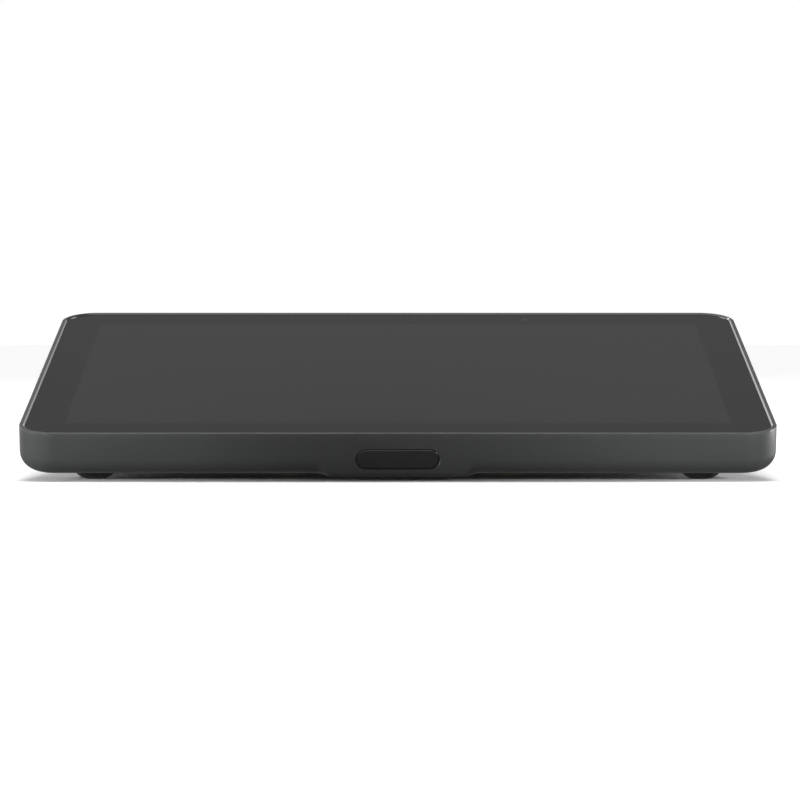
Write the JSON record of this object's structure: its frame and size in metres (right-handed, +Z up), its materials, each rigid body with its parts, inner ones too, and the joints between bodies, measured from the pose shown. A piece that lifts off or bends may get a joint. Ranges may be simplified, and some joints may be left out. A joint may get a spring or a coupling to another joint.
{
  "type": "smart display",
  "caption": "Tabletop smart display with a large tilted touch glass, a front presence-sensor window, a wedge base, rubber feet and a covered cable bay at the back.",
  "frame": {"origin": "centre of the whole object's bounding box at table level", "axes": "+X to the user's right, -Y towards the user, +Z up; the glass slopes up towards +Y"},
  "size_m": [0.246, 0.164, 0.0557],
  "materials": {
    "body_shell": "fine satin graphite",
    "base_plastic": "matte, fine texture",
    "cover_glass": "polished, smoke tinted",
    "seal_foam": "closed-cell foam",
    "border_ink": "printed black ink",
    "touch_film": "clear-bonded film",
    "lcd": "dark polariser",
    "light_guide": "clear acrylic",
    "led": "phosphor",
    "tray_steel": "bright sheet",
    "chassis_aluminium": "as stamped",
    "dark_steel": "black oxide",
    "bright_steel": "zinc plated",
    "circuit_board": "green solder mask",
    "ribbon": "polyimide film",
    "light_pipe": "frosted",
    "sensor_window": "polished, infrared-clear",
    "sensor_can": "tinned",
    "antenna": "black film",
    "cable": "smooth jacket",
    "rubber_foot": "matte silicone",
    "brass": "turned",
    "chip": "moulded",
    "thermal_pad": "soft silicone",
    "heat_sink": "extruded",
    "connector": "moulded nylon",
    "contact": "gold flash",
    "black_nylon": "moulded",
    "transformer": "taped core",
    "capacitor": "sleeved can",
    "paper_cone": "treated paper",
    "magnet": "plated",
    "button_red": "moulded"
  },
  "bodies": {
    "display": {"housing": "body_shell", "cover_glass": "cover_glass", "glass_gasket": "seal_foam", "black_border": "border_ink", "touch_sensor": "touch_film", "lcd_cell": "lcd", "light_guide": "light_guide", "led_strip": "led", "panel_tray": "tray_steel", "chassis_plate": "chassis_aluminium", "chassis_screws": "dark_steel", "display_board": "circuit_board", "display_flex": "ribbon", "touch_flex": "ribbon", "light_sensor_board": "circuit_board", "light_sensor_pipe": "light_pipe", "presence_window": "sensor_window", "presence_sensor_board": "circuit_board", "presence_sensor": "sensor_can", "antenna_left": "antenna", "antenna_right": "antenna", "antenna_cables": "cable", "base_shell": "base_plastic", "base_plate": "base_plastic", "shell_screws": "dark_steel", "base_screws": "dark_steel", "mount_inserts": "brass", "foot_front_left": "rubber_foot", "foot_front_right": "rubber_foot", "foot_rear_left": "rubber_foot", "foot_rear_right": "rubber_foot", "main_board": "circuit_board", "processor": "chip", "memory_chips": "chip", "shield_can": "sensor_can", "thermal_pads": "thermal_pad", "heat_sink": "heat_sink", "board_connectors": "connector", "board_screws": "dark_steel", "network_jack": "sensor_can", "jack_contacts": "contact", "usb_jack": "sensor_can", "reset_switch": "black_nylon", "power_board": "circuit_board", "power_transformer": "transformer", "power_capacitors": "capacitor", "link_connector": "black_nylon", "speaker_gasket": "seal_foam", "speaker_frame": "black_nylon", "speaker_cone": "paper_cone", "speaker_magnet": "magnet", "lock_plate": "bright_steel", "cover_insert": "brass"},
    "cable_cover": {"cable_cover": "base_plastic"},
    "cover_screw": {"cover_screw": "bright_steel"},
    "reset_button": {"reset_button": "button_red"}
  },
  "joints": [
    {"name": "cover_slide", "type": "slide", "parent": "display", "child": "cable_cover", "axis": [0, 1, 0], "range_m": [0, 0.05]},
    {"name": "cover_screw_turn", "type": "hinge", "parent": "cable_cover", "child": "cover_screw", "pos_m": [0.036, 0.066, 0.013], "axis": [0, 1, 0], "continuous": true},
    {"name": "reset_press", "type": "slide", "parent": "display", "child": "reset_button", "axis": [0, -1, 0], "range_m": [0, 0.0006], "stiffness_N_per_m": 1500, "springref_m": -0.0003}
  ]
}
